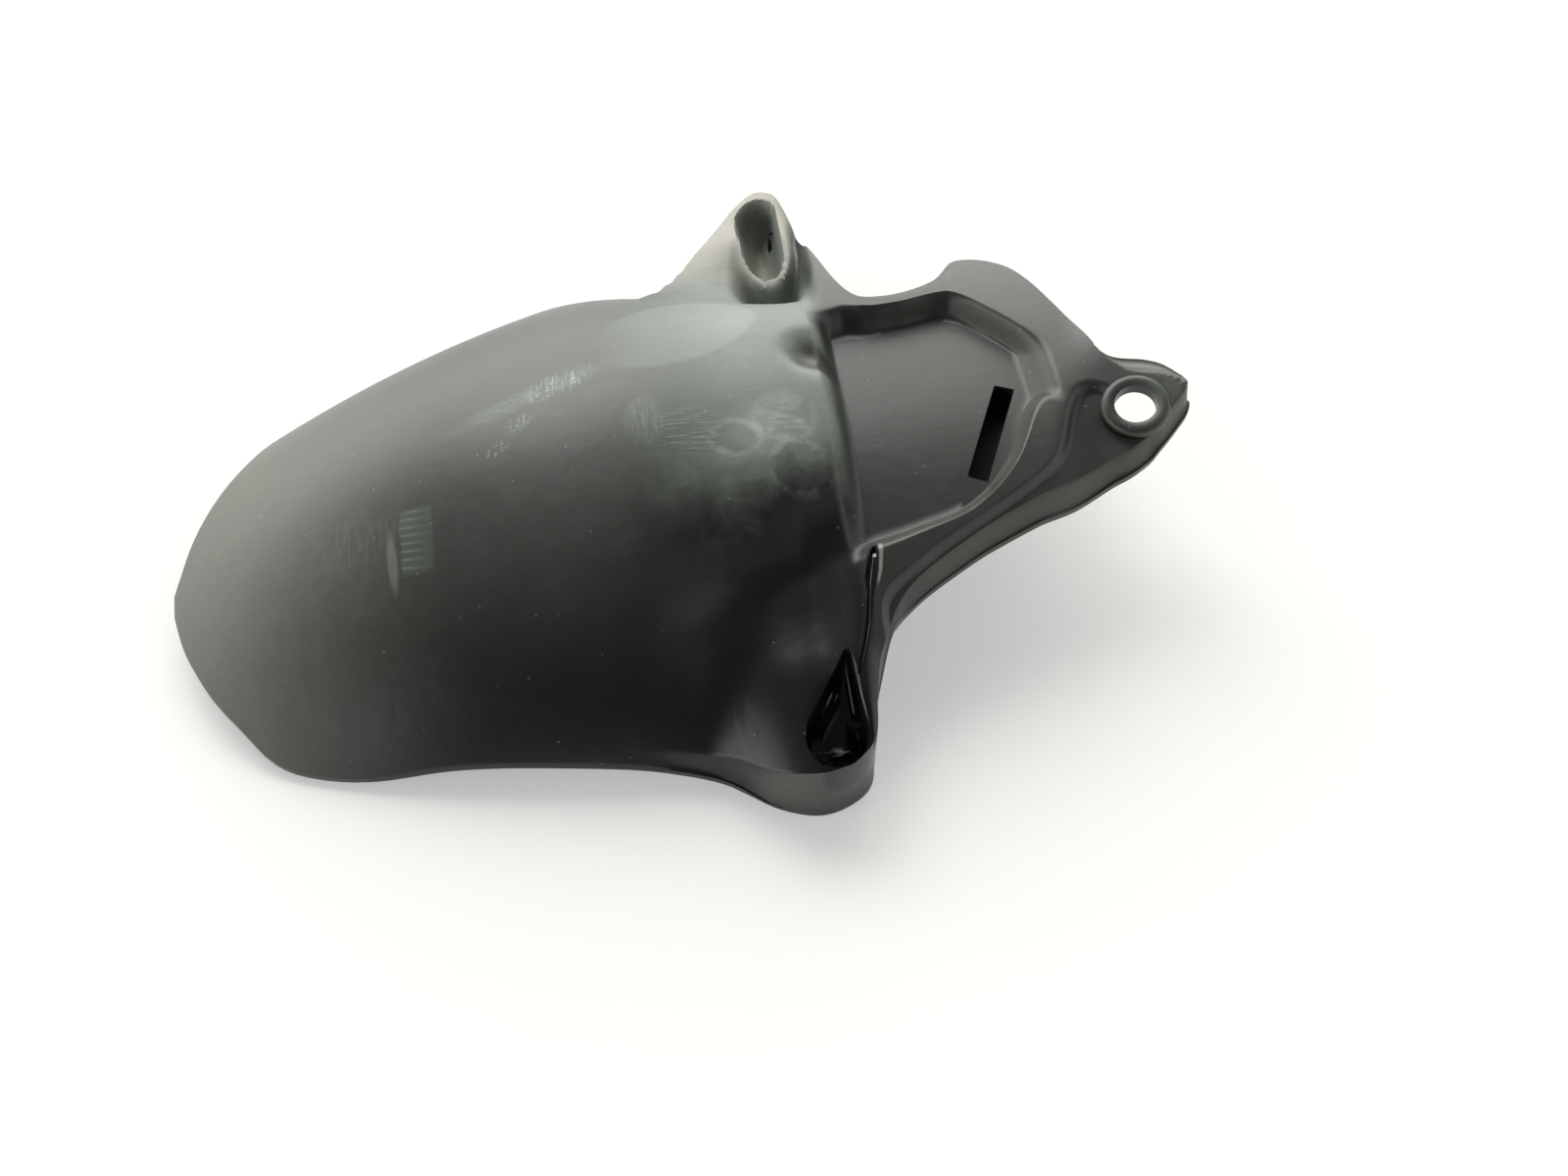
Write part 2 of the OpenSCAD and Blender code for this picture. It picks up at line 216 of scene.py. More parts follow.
knots = side_knots(near, floor_near, NEAR_EAR) + side_knots(far, floor_far, FAR_EAR)[::-1]
places, column = [near], [0.0]
for k, n in enumerate(COUNTS):
    for i in range(1, n + 1):
        places.append(knots[k] + (knots[k + 1] - knots[k]) * i / n)
        column.append(k + i / n)
plan = np.stack(places, axis=1)
column = np.array(column)[None, :]
print("grid", plan.shape[:2], "cells", (plan.shape[0] - 1) * (plan.shape[1] - 1))

# %% [markdown]
# ## Outlines
# The ledge along the panel, the near pocket and the crack don't follow the grid. Each has an exact
# outline in plan instead. The distance to an outline, negative inside it, shapes the surface beside
# it, and the same outline serves as a cutter's section later.

# %% Distance to an outline
FAR_ENOUGH = 30.0


def signed(q, outline):
    """Distance to a closed outline, negative inside, and no more than FAR_ENOUGH."""
    shape = q.shape[:-1]
    q = q.reshape(-1, 2)
    low_end, high_end = outline.min(axis=0) - FAR_ENOUGH, outline.max(axis=0) + FAR_ENOUGH
    beside = np.all((q > low_end) & (q < high_end), axis=1)
    w = q[beside]
    squared, inside = np.full(len(w), FAR_ENOUGH**2), np.zeros(len(w), bool)
    for a, b in zip(outline, np.roll(outline, -1, axis=0)):
        e = b - a
        t = np.clip(((w - a) @ e) / (e @ e + 1e-12), 0, 1)
        squared = np.minimum(squared, ((w - a - t[:, None] * e) ** 2).sum(axis=1))
        if a[1] != b[1]:
            crosses = (a[1] > w[:, 1]) != (b[1] > w[:, 1])
            crossing_x = e[0] * (w[:, 1] - a[1]) / e[1] + a[0]
            inside ^= crosses & (w[:, 0] < crossing_x)
    out = np.full(len(q), FAR_ENOUGH)
    out[beside] = np.where(inside, -1, 1) * np.sqrt(squared)
    return out.reshape(shape)


square = np.array([[0, 0], [1, 0], [1, 1], [0, 1.0]])
print("a square's middle, from its edge", signed(np.array([[0.5, 0.5]]), square)[0])

# %% Outlines
CRACK = [(11.6, -65), (10.6, -69), (9, -75), (8.2, -80), (6.8, -88), (5, -94), (2.4, -101), (0.6, -105)]
CRACK_HALF = [0.5, 1.5, 2.2, 1.3, 1.4, 1.3, 1.1, 0.5]
LEDGE = [
    (20, -110), (11, -84), (28, -70), (43, -62), (57, -55), (70, -47.5), (77, -41), (81, -33), (84, -25),
    (90, -16.5), (98, -17), (106, -28), (114, -42), (110, -70), (60, -105),
]


def along(points, widths):
    """Outline of a band along an open line, with a half width at each point."""
    q, w = np.array(points, float), np.array(widths, float)[:, None]
    side = unit(np.gradient(q, axis=0))[:, ::-1] * [1, -1]
    return np.concatenate([q + side * w, (q - side * w)[::-1]])


def teardrop():
    """Outline of the near bolt pocket: a wide and a narrow arc, joined by straight sides."""
    wide, wide_r, narrow, narrow_r = np.array([-8.5, 121.5]), 9.6, np.array([-2.2, 98.0]), 1.2
    length = np.linalg.norm(narrow - wide)
    axis = (narrow - wide) / length
    normal = np.array([-axis[1], axis[0]])
    turn = math.pi / 2 - math.asin((wide_r - narrow_r) / length)

    def arc(centre, r, start, end, n):
        return [centre + r * (axis * math.cos(t) + normal * math.sin(t)) for t in np.linspace(start, end, n)]

    out = arc(narrow, narrow_r, -turn, turn, 14) + arc(wide, wide_r, turn, 2 * math.pi - turn, 34)
    return np.array(out) * [1, -1]


pocket_outline = teardrop()
ledge = closed_curve(LEDGE)
print("outline points", len(pocket_outline), len(ledge))

# %% [markdown]
# ## Shell
# The shell's section is an arc of a circle through both side edges, and its length is a longer arc
# over the wheel. A stretched sphere would be close, but its edges wouldn't stay level. Here each
# station works out its own arc from its width and height, so that the edges land where they should.

# %% Shell
def crown_height(u):
    return CROWN_H - WHEEL_R + np.sqrt(WHEEL_R**2 - (u + CROWN_BACK) ** 2)


def shell(X, Y):
    u = X * math.cos(LEAN) + Y * math.sin(LEAN)
    v = np.abs(-X * math.sin(LEAN) + Y * math.cos(LEAN))
    q = np.clip(u, CORNER_U, SIDE_U)
    share = (2 * q - SIDE_U - CORNER_U) / (SIDE_U - CORNER_U)
    half = CORNER_W + (SIDE_W + SIDE_SPREAD - CORNER_W) * (q - CORNER_U) / (SIDE_U - CORNER_U)
    rise = crown_height(q) - (EDGE_LOW + EDGE_ARCH * (1 - share**2))
    r = (half**2 + rise**2) / (2 * rise)
    r = r + (FRONT_R - r) * ease(-85, -20, u)
    on_arc = np.minimum(v, STEEP * r)
    straight = np.maximum(0, v - STEEP * r) * STEEP / math.sqrt(1 - STEEP**2)
    return crown_height(u) - r + np.sqrt(r * r - on_arc * on_arc) - straight


print("crown", CROWN_H, "at", -CROWN_BACK)

# %% [markdown]
# ## Ears
# Each ear is a shelf that grows out of the shell to carry a bolt. The far ear stands as a pod with a
# shallow cup in it, and a deep valley parts it from the shell; the near ear is flatter, and its
# pocket is cut later. Both could be cut with booleans, but the far cup's flared walls come out
# smoother as a height that the grid follows.

# %% Ears
POD_X, POD_Y, POD_R = -5.5, 91.0, 17.0
VALLEY_DEPTH, NEAR_DIP, FAR_DROP = 12.0, 5.0, 24.0
CUP_H, CUP_WALL = 14.5, 17.0
POCKET_H, POCKET_RISE, POCKET_L = 10.0, 25.0, 28.0


def near_dip(Y):
    """The near shelf sinks a little towards its outer end."""
    return NEAR_DIP * ease(95, 132, -Y)


def shelf(X, Y):
    slope = SHELF_SLOPE + 0.45 * ease(-14, -62, X)
    behind = -35 + 0.55 * (Y - 92) - X
    far_drop = FAR_DROP * ease(0, 16, behind) + 4 * ease(-4, -20, X) * ease(95, 120, Y)
    inner_h = SHELF_H + SHELF_SLOPE * (EAR_REACH - SHELF_FROM)
    plain = inner_h - slope * np.maximum(0, np.abs(Y) - SHELF_FROM) - 70 * ease(-50, -115, X)
    return plain - np.where(Y > 0, far_drop, near_dip(Y))


def from_pod(X, Y):
    """Distance from the middle of the far ear's pod, measured along Y."""
    return np.hypot((X - POD_X) / (0.5 + 0.06 * ease(98, 120, Y)), np.minimum(0, Y - POD_Y))


def valley(X, Y):
    """The valley round the pod: steep at the pod, soft towards the shell."""
    r = from_pod(X, Y)
    all_round = VALLEY_DEPTH * ease(18.5, 28, r) * ease(44, 29, r)
    return all_round * ease(-22, -6, X - 0.2 * (Y - 80)) * ease(112, 98, Y)


def far_cup(X, Y):
    """The far ear's pocket: a shallow cup, open upwards, with a steep front wall for the bolt."""
    lengthwise = 0.12 * np.maximum(0, Y - 116) ** 2 + 8 * (np.maximum(0, 108 - Y) / 30) ** 1.3
    return CUP_H + lengthwise + CUP_WALL * (from_pod(X, Y) / POD_R) ** 1.9 + 5 * np.maximum(0, X - 0.3)


def pocket_floor(X, Y):
    """The near ear's pocket: it rises inwards, and turns up at its outer end."""
    inwards = np.clip((EAR_Y + 8 - np.abs(Y)) / POCKET_L, 0, 1)
    return POCKET_H + POCKET_RISE * inwards**2 + 0.06 * np.maximum(0, np.abs(Y) - 116) ** 2


print("far cup", CUP_H, "near pocket", POCKET_H, "over the ground line")

# %% [markdown]
# ## Body and panel
# Shell and ears meet in soft hollows, as in any moulding. Behind the crease lies this body, and in
# front of it the panel: a crowned deck, sunk between its walls, that runs out into the sloping arm.
# Each is a height over the plan, and round_max joins two heights with a rounded corner, where the
# plain larger of the two would leave a sharp one.

# %% Body and panel
# Each soft hill or hollow: height, middle X, middle Y, radius.
HILLS = [(-9, -8, 70, 36), (3, -16, -42, 26), (-6, 2, 9, 15)]
NEAR_HOLLOW = 4.5


def round_max(a, b, k):
    """The larger of two heights, with a rounded corner k wide where they cross."""
    h = np.clip(0.5 + 0.5 * (a - b) / k, 0, 1)
    return b + (a - b) * h + k * h * (1 - h)


def body_height(X, Y):
    z = round_max(shell(X, Y), shelf(X, Y), 5 + 11 * ease(-72, -92, Y)) - valley(X, Y)
    for height, x, y, r in HILLS:
        z = z + height * ease(r, 0, np.hypot(X - x, Y - y))
    return z - NEAR_HOLLOW * ease(-47, -68, Y) * ease(-128, -80, Y) * ease(-66, -34, X) * ease(3, -12, X)


def deck(X, Y):
    off = Y - DECK_MIDDLE
    return DECK_H + DECK_RISE * X - off**2 / (2 * np.where(off > 0, DECK_R, 0.7 * DECK_R))


def panel_height(P, on_column):
    X, Y = P[..., 0], P[..., 1]
    sunken = ease(2.9, 4.1, on_column) * ease(6.1, 4.9, on_column)
    depth = RECESS_DEPTH * ease(84, 74, X)
    out_on_arm = ease(78, 100, X - 0.3 * Y - 8)
    arm = ARM[2] + ARM_SLOPE * (X - ARM[0]) + ARM_SLOPE * (Y - ARM[1])
    z = deck(X, Y) * (1 - out_on_arm) + arm * out_on_arm - depth * sunken
    return z - LEDGE_DEPTH * ease(0.5, -3, signed(P, ledge))


print("deck", DECK_H, "sunk by", RECESS_DEPTH)

# %% [markdown]
# ## Edges
# A thin moulding is stiffened by turning its edges down. The ears' edges turn down to the ground
# line, the front's near edge carries a tall flange, and its far edge a low bevel. A Bevel modifier
# would round every edge alike; here the distance from the trim says how far each point drops.

# %% Edges
EAR_BAND, EAR_BAND_CUT = 4.5, 1.9


def turned_down(z, X, Y, from_near, from_far):
    at_ears = ease(-70, -30, X) * ease(90, 112, np.abs(Y))
    band = EAR_BAND - EAR_BAND_CUT * ease(-50, -22, X) * ease(14, 4, X)
    z = z - at_ears * ease(band, 0.13 * band, np.minimum(from_near, from_far)) * np.maximum(0, z - 1)
    front, outer = ease(12, 22, X), ease(56, 68, X)
    flange = FLANGE_H * ease(4.5, 0.8, from_near)
    broad = 0.45 * ease(9.5, 7.5, from_far) + 0.55 * ease(7.5, 1, from_far)
    narrow = 0.4 * ease(4, 0.6, from_far)
    return z - front * (flange + BEVEL_H * (outer * broad + (1 - outer) * narrow))


X, Y = plan[..., 0], plan[..., 1]
from_near = np.linalg.norm(plan - plan[:, :1], axis=-1)
from_far = np.linalg.norm(plan - plan[:, -1:], axis=-1)
in_front = ease(CREASE_X - CREASE_HALF, CREASE_X + CREASE_HALF, X)
height = body_height(X, Y) * (1 - in_front) + panel_height(plan, column) * in_front
height = np.where(Y > 70, -round_max(-height, -far_cup(X, Y), 1.6), height)
height = np.maximum(turned_down(height, X, Y, from_near, from_far), LOWEST)
top = np.concatenate([plan, height[..., None]], axis=-1)
print("surface z", top[..., 2].min().round(2), top[..., 2].max().round(2))

# %% [markdown]
# ## Solid
# Plastic has a thickness, which shows at the trim and in the holes. A Solidify modifier would cross
# itself in the tight pockets. So a second grid, the lining, lies under the skin at the wall's
# thickness, drops below the near pocket's floor, and is walled to the skin along the trim.

# %% Lining
def upright(grid):
    """How far each point of a grid faces up, from 0 to 1."""
    normal = unit(np.cross(np.gradient(grid, axis=0), np.gradient(grid, axis=1)))
    return np.abs(normal[..., 2])


low = top.copy()
measured_down = WALL / np.maximum(upright(top), 0.2)
low[..., 2] -= np.minimum(measured_down, WALL + 20 * ease(0.5, 5, np.minimum(from_near, from_far)))
under_pocket = np.minimum(low[..., 2], pocket_floor(X, Y) - WALL)
low[..., 2] = np.where(signed(plan, pocket_outline) < WALL, under_pocket, low[..., 2])
low[..., 2] = np.clip(low[..., 2], 0, top[..., 2] - THINNEST)
print("lining z", low[..., 2].min().round(2), low[..., 2].max().round(2))

# %% Solid
grid_rows, grid_cols = plan.shape[:2]
count = grid_rows * grid_cols
index = np.arange(count).reshape(grid_rows, grid_cols)
corners = (index[:-1, :-1], index[:-1, 1:], index[1:, 1:], index[1:, :-1])
A, B, C, D = (corner.reshape(-1) for corner in corners)
border = np.concatenate([index[0, :-1], index[:-1, -1], index[-1, :0:-1], index[:0:-1, 0]])
ahead = np.roll(border, -1)
quads = np.concatenate([
    np.stack([A, D, C, B], axis=-1),
    np.stack([A, B, C, D], axis=-1) + count,
    np.stack([border, ahead, ahead + count, border + count], axis=-1),
])
points = (np.concatenate([top.reshape(-1, 3), low.reshape(-1, 3)]) - ORIGIN) / 1000
mesh = bpy.data.meshes.new("fender_skin")
mesh.from_pydata(points.tolist(), [], quads.tolist())
mesh.validate()
skin = bpy.data.objects.new("fender_skin", mesh)
bpy.context.collection.objects.link(skin)
print("quads", len(quads))

# %% [markdown]
# ## Tools for cutting
# Holes, slot and crack are cut through the solid, as a drill or a mould's core would leave them. A
# grid can't hold a true round hole, so each is a closed tool and a boolean. Every tool here is a
# stack of outlines, or, for the raised ring, a profile turned about an axis.

# %% Tools for cutting
def solid(pts, faces):
    """A closed tool from points in millimetres."""
    data = bpy.data.meshes.new("tool")
    data.from_pydata([tuple((np.array(q) - ORIGIN) / 1000) for q in pts], [], faces)
    form = bmesh.new()
    form.from_mesh(data)
    bmesh.ops.recalc_face_normals(form, faces=form.faces)
    form.to_mesh(data)
    form.free()
    tool = bpy.data.objects.new("tool", data)
    bpy.context.collection.objects.link(tool)
    return tool


def hoop(m, lower, upper):
    """Faces between two outlines of m points each, given by their numbers in the stack."""
    lo, up = lower * m, upper * m
    return [(lo + i, lo + (i + 1) % m, up + (i + 1) % m, up + i) for i in range(m)]


def stack(outlines):
    m, k = len(outlines[0]), len(outlines)
    faces = [face for r in range(k - 1) for face in hoop(m, r, r + 1)]
    caps = [tuple(range(m))[::-1], tuple(range((k - 1) * m, k * m))]
    return solid(np.concatenate(outlines), faces + caps)


def prism(outline, low, high, matrix):
    return stack([[tuple(matrix @ Vector((x, y, z))) for x, y in outline] for z in (low, high)])


def turned(r, start, end, n, endpoint=True):
    """Points on an arc about the origin."""
    return [(r * math.cos(a), r * math.sin(a)) for a in np.linspace(start, end, n, endpoint=endpoint)]


def disc(r, n=72):
    return turned(r, 0, 2 * math.pi, n, endpoint=False)


def lathe(profile, matrix, n=72):
    pts = [matrix @ Vector((x, y, h)) for r, h in profile for x, y in disc(r, n)]
    m = len(profile)
    return solid(pts, [face for k in range(m) for face in hoop(n, k, (k + 1) % m)])


def rounded(x0, x1, half, r, n=6):
    """A rectangle with round corners, from x0 to x1."""
    centres = [(x1 - r, half - r), (x0 + r, half - r), (x0 + r, r - half), (x1 - r, r - half)]
    out = []
    for quarter, (cx, cy) in enumerate(centres):
        start = quarter * math.pi / 2
        out += [(cx + x, cy + y) for x, y in turned(r, start, start + math.pi / 2, n + 1)]
    return out


print("disc points", len(disc(1)))

# %% [markdown]
# The near pocket needs a tool of its own: a rounded floor, upright walls and a flared mouth. So does
# the crack. A torn seam isn't a straight cut, so its wedge follows the surface, narrows as it goes
# in, and ends as a hair under it.

# %% Pocket and crack tools
ABOVE_ALL = 70.0
# Each ring of the pocket: how far it stands out from the outline, and how far over the floor or rim.
FLOOR_RINGS = [(-1.5, 0.1), (-0.6, 0.6), (-0.1, 1.8)]
MOUTH_RINGS = [(0, -1.6), (0.25, -0.6), (0.8, 0.1), (1.6, 0.5)]
# Each level of the crack: its height over the surface, and its share of the full width.
CRACK_LEVELS = [(-16, 0.02), (-2.3, 0.02), (-2.1, 0.85), (14, 1.7)]


def bowl(outline, floor, rim):
    edge = np.roll(outline, -1, axis=0) - np.roll(outline, 1, axis=0)
    out = unit(edge)[:, ::-1] * [1, -1]
    if (signed(outline[:1] + out[:1] * 0.3, outline) < 0).all():
        out = -out
    centre = outline.mean(axis=0)
    rings = [np.c_[q, floor(*q.T)] for q in (centre + (outline - centre) * k for k in (0.25, 0.5, 0.75))]
    for grow, lift in FLOOR_RINGS:
        q = outline + out * grow
        rings.append(np.c_[q, floor(*q.T) + lift])
    for grow, lift in MOUTH_RINGS:
        q = outline + out * grow
        rings.append(np.c_[q, np.maximum(rim(q) + lift, rings[-1][:, 2] + 0.05)])
    rings.append(np.c_[rings[-1][:, :2], np.full(len(outline), ABOVE_ALL)])
    return stack(rings)


def near_rim(q):
    return SHELF_H + SHELF_SLOPE * (EAR_REACH + q[:, 1]) - near_dip(q[:, 1])


def wedge(line, widths):
    nearest = [np.argmin(((plan - q) ** 2).sum(axis=-1)) for q in np.array(line, float)]
    over = top[..., 2].ravel()[nearest]
    over = np.concatenate([over, over[::-1]])
    return stack([np.c_[along(line, [k * w for w in widths]), over + lift] for lift, k in CRACK_LEVELS])


print("crack length", round(float(np.linalg.norm(np.diff(CRACK, axis=0), axis=1).sum()), 1))

# %% [markdown]
# ## Cutting
# The order matters: what stands proud is joined on before anything is cut through it. The arm's hole
# has a raised ring above and a wider bore below; the slot lies in a trough of its own; a small bite
# is missing at the foot of the arm; each ear has a bolt hole through its front plate.

# %% Cutting
HOLE_R, UNDER_R, UNDER_TOP = 7.0, 9.0, -3.6
# The raised ring's profile: radius, and height over the arm.
RING = [
    (6.5, UNDER_TOP), (11.4, UNDER_TOP), (11.4, 0.2), (11.0, 0.9),
    (10.3, 1.4), (9.2, 1.6), (8.0, 1.5), (6.5, 0.9),
]
SLOT_AT, SLOT_TURN, SLOT_TIP = (67.5, -6, 50.2), math.radians(245), math.radians(5)
SLOT_L, SLOT_HALF, SLOT_DEPTH, SLOT_ROUND, TROUGH_ROUND = 40.0, 3.5, 9.0, 1.2, 2.5
NOTCH, NOTCH_R = (101.6, 0.7, 0), 2.4
BOLT_R, BORE_L = 4.5, 16.0
BORE_START = {-1: -6, 1: -3}  # by side: the near bore starts further back than the far one


def combine(tool, how):
    step = skin.modifiers.new("step", "BOOLEAN")
    step.operation, step.object, step.solver = how, tool, "MANIFOLD"
    bpy.context.view_layer.objects.active = skin
    bpy.ops.object.modifier_apply(modifier=step.name)
    bpy.data.objects.remove(tool)
    print(how.lower(), len(skin.data.polygons))


tilt = math.atan(ARM_SLOPE)
on_arm = Matrix.Translation(ARM) @ Matrix.Rotation(-tilt, 4, "Y") @ Matrix.Rotation(tilt, 4, "X")
in_recess = (
    Matrix.Translation(SLOT_AT) @ Matrix.Rotation(SLOT_TURN, 4, "Z")
    @ Matrix.Rotation(SLOT_TIP, 4, "Y")
)
trough = rounded(-WALL, SLOT_L + WALL, SLOT_HALF + WALL, TROUGH_ROUND)
combine(lathe(RING, on_arm), "UNION")
combine(prism(trough, -SLOT_DEPTH - WALL, -1.4, in_recess), "UNION")
combine(prism(rounded(0, SLOT_L, SLOT_HALF, SLOT_ROUND), -SLOT_DEPTH, 12, in_recess), "DIFFERENCE")
combine(prism(disc(HOLE_R), -12, 9, on_arm), "DIFFERENCE")
combine(prism(disc(UNDER_R), -14, UNDER_TOP, on_arm), "DIFFERENCE")
combine(prism(disc(NOTCH_R, 24), 40, 80, Matrix.Translation(NOTCH)), "DIFFERENCE")
combine(bowl(pocket_outline, pocket_floor, near_rim), "DIFFERENCE")
combine(wedge(CRACK, CRACK_HALF), "DIFFERENCE")
for side, start in BORE_START.items():
    through_plate = Matrix.Translation((start, side * EAR_Y, EAR_Z)) @ Matrix.Rotation(math.pi / 2, 4, "Y")
    combine(prism(disc(BOLT_R, 48), 0, BORE_L, through_plate), "DIFFERENCE")

# %% [markdown]
# The moulding is smooth except at real edges, so every face is smooth and only corners over 38
# degrees stay sharp. The skin then rides on the frame's one body and stands for the plain solid.

# %% Finish the mesh
SHARP = math.radians(38)
mesh = skin.data
mesh.polygons.foreach_set("use_smooth", [True] * len(mesh.polygons))
mesh.set_sharp_from_angle(angle=SHARP)
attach(skin, "root")
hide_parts("fender_shell")
print("faces", len(mesh.polygons))

# %% [markdown]
# ## Shader tools
# A worn surface takes dozens of Math nodes, and wiring them one by one hides the idea. So a socket is
# wrapped in a class whose arithmetic adds the nodes: a mask is then written as the sum that it is.
# One method makes any other node from its type, its settings and its sockets.

# %% Shader tools
def link(tree, value, slot):
    if isinstance(value, Socket):
        tree.links.new(value.out, slot)
    else:
        slot.default_value = value


class Socket:
    """One output of a node tree. Arithmetic on it adds Math nodes."""

    def __init__(self, tree, out):
        self.tree, self.out = tree, out

    def math(self, kind, *values):
        places = {f"_{i}": value for i, value in enumerate(values)}
        return Shader(self.tree).node("Math", {"operation": kind}, 0, **places)

    def __add__(self, other):
        return self.math("ADD", self, other)

    def __sub__(self, other):
        return self.math("SUBTRACT", self, other)

    def __mul__(self, other):
        return self.math("MULTIPLY", self, other)

    def __truediv__(self, other):
        return self.math("DIVIDE", self, other)

    def __pow__(self, other):
        return self.math("POWER", self, other)

    def __radd__(self, other):
        return self.math("ADD", other, self)

    def __rsub__(self, other):
        return self.math("SUBTRACT", other, self)

    def __rmul__(self, other):
        return self.math("MULTIPLY", other, self)

    def abs(self):
        return self.math("ABSOLUTE", self)

    def min(self, other):
        return self.math("MINIMUM", self, other)

    def max(self, other):
        return self.math("MAXIMUM", self, other)

    def sin(self):
        return self.math("SINE", self)

    def ease(self, a, b):
        """Smooth step from 0 at a to 1 at b."""
        return Shader(self.tree).node(
            "MapRange", {"interpolation_type": "SMOOTHSTEP"}, 0, Value=self, From_Min=a, From_Max=b)


class Shader:
    """Builds nodes in one tree. A socket is named, or _0, _1 and so on by its place."""

    def __init__(self, tree):
        self.tree = tree

    def node(self, kind, settings=None, out=0, **sockets):
        node = self.tree.nodes.new("ShaderNode" + kind)
        for name, value in (settings or {}).items():
            setattr(node, name, value)
        for name, value in sockets.items():
            slot = node.inputs[int(name[1:])] if name[0] == "_" else node.inputs[name.replace("_", " ")]
            link(self.tree, value, slot)
        return Socket(self.tree, node.outputs[out])

    def noise(self, at, scale, detail, rough, twist=0.0):
        return self.node(
            "TexNoise", None, 0, Vector=at, Scale=scale, Detail=detail, Roughness=rough, Distortion=twist)

    def split(self, vector):
        node = self.tree.nodes.new("ShaderNodeSeparateXYZ")
        link(self.tree, vector, node.inputs[0])
        return [Socket(self.tree, out) for out in node.outputs]

    def stretch(self, at, scale, turn):
        return self.node("Mapping", None, 0, Vector=at, Rotation=(0, 0, math.radians(turn)), Scale=scale)

    def local(self, at, place, turn=0.0, size=(1, 1, 1)):
        """Places as seen from a mark: its middle at 0, its own axes, its size as 1."""
        turned_by = (0, 0, math.radians(turn))
        return self.node(
            "Mapping", {"vector_type": "TEXTURE"}, 0, Vector=at, Location=place, Rotation=turned_by, Scale=size)

    def length(self, vector):
        return self.node("VectorMath", {"operation": "LENGTH"}, 1, _0=vector)

    def mix(self, share, a, b):
        return self.node("Mix", {"data_type": "RGBA"}, 2, _0=share, _6=a, _7=b)


print("shader tools ready")

# %% [markdown]
# ## Plastic
# The real plastic is black and has gone dull with age: a pale film lies on it, its edges are worn to
# a warm grey, and rubs, rings and chalky streaks lie over both. Some of the pale grey is painted
# light, and a few dark places are painted shade. An image could hold all that, but noises and masks
# placed in millimetres stay sharp at any distance and can be changed one at a time.
# Five noises come first: clouds, mottling, a fine grain, and brushed and scored lines.

# %% Plastic: places and noise
plastic = bpy.data.materials.new("fender_plastic")
plastic.use_nodes = True
bsdf = plastic.node_tree.nodes["Principled BSDF"]
bsdf.inputs["IOR"].default_value = 1.48
paint = Shader(plastic.node_tree)
on_object = paint.node("TexCoord", None, 3)
at = paint.node("Mapping", None, 0, Vector=on_object, Location=tuple(ORIGIN), Scale=(1000, 1000, 1000))
px, py, _ = paint.split(at)
upward = paint.split(paint.node("NewGeometry", None, 1))[2]
cloud = paint.noise(at, 0.022, 4, 0.6) - 0.5
mottle = paint.noise(at, 0.11, 5, 0.62, 0.6) - 0.5
grain = paint.noise(at, 0.9, 4, 0.7)
brushed = paint.noise(paint.stretch(at, (0.12, 1.6, 0.4), 12), 1, 4, 0.65)
scored = paint.noise(paint.stretch(at, (1.5, 0.09, 0.4), -4), 1, 4, 0.65)
print("noises ready")

# %% [markdown]
# A rub or a ring is a mark with a place and a size. Painting it would need an image, so it is an
# ellipse in plan instead, whose outline the mottling frays. A spot is filled, a ring is only its
# outline, and both fade over a stated softness.

# %% Plastic: marks
ANY_HEIGHT = 4000.0


def reach(x, y, rx, ry, turn, rough):
    """Distance from a mark's middle, 1 at its outline."""
    return paint.length(paint.local(at, (x, y, 0), turn, (rx, ry, ANY_HEIGHT))) + mottle * rough


def spot(x, y, rx, ry, turn=0.0, soft=0.3, rough=0.25):
    return reach(x, y, rx, ry, turn, rough).ease(1 + soft / 2, 1 - soft / 2)


def ring(x, y, rx, ry, turn, wide, rough):
    return (reach(x, y, rx, ry, turn, rough) - 1).abs().ease(wide, wide * 0.2)


print("marks ready")

# %% [markdown]
# The film is a pale grey over the black. It is thickest towards the front of the crown and ends along
# a line down its near side, and it is thin on the panel and the arm; the panel's walls and the far ear
# are rubbed pale by handling, and the tail's end is warmed by it. On the tail's end, on the near side
# towards the tail and on the near ear's outer walls the pale grey is painted light, for the light that
# falls there from the left and from the ground, and a round spot by the crease is left bare as painted
# shade. Each of these is a mask times a small amount of grey, and the sum is broken up by the noises
# so that it isn't even.

# %% Plastic: film
CREASE_TONE_X = (9, 4)  # the shell's film ends at the crease
on_shell = px.ease(*CREASE_TONE_X)
on_panel = 1 - on_shell
crown_edge = -54 + px.ease(-50, 10) * 14
pale_crown = (py - crown_edge + mottle * 14 + cloud * 20).ease(-11, 17) * px.ease(-135, -20) * on_shell
# Besides the tail's warm tint, its share of the film below is painted light, for the light that falls on the
# tail from the left.
tail_end = (px + cloud * 40).ease(-120, -205)
far_ear = (py + mottle * 8).ease(62, 96) * on_shell * upward.ease(0.2, 0.8)
worn_wall = upward.abs().ease(0.75, 0.3) * px.ease(18, 32) * (1 - spot(59, -24, 6.5, 23, -25, 0.2, 0))
arm_end = px.ease(98, 118)

crown_film = pale_crown * (0.04 + px.ease(-75, -15) * 0.17)
# Painted light: the near side towards the tail is made paler for the light from the left, and the near ear's
# outer walls for the light from the ground.
near_side_painted_light = on_shell * (py + px * 0.1).ease(-112, -62) * px.ease(-30, -90) * 0.042
near_wall_painted_light = py.ease(-122, -131) * upward.abs().ease(0.6, 0.3) * 0.06
panel_wall_film = worn_wall * (0.015 + 0.03 * px.ease(58, 66) * py.ease(-22, -8))
